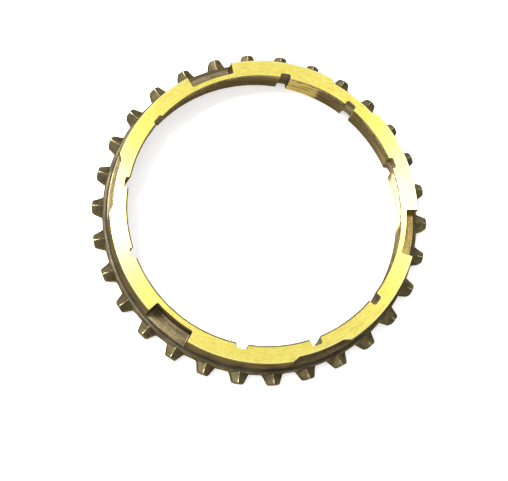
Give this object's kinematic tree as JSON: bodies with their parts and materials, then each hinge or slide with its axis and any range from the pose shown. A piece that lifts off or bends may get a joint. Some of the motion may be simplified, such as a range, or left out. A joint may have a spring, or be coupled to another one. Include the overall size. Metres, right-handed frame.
{
  "type": "synchronizer ring",
  "caption": "Brass blocker ring of a gearbox synchronizer: a grooved friction cone inside, key slots in the edge of a flat lapped face, and pointed clutch teeth round the foot.",
  "frame": {"origin": "centre of the flat gear side, on the ring's axis", "axes": "+Z along the ring's axis, from the gear side to the lapped hub side; +X through the middle of the first key slot"},
  "size_m": [0.089, 0.0892, 0.0125],
  "materials": {
    "brass": "lapped bright on the face, dark as forged on the wall, teeth and cone"
  },
  "bodies": {
    "root": {"synchronizer_ring": "brass"}
  },
  "joints": []
}
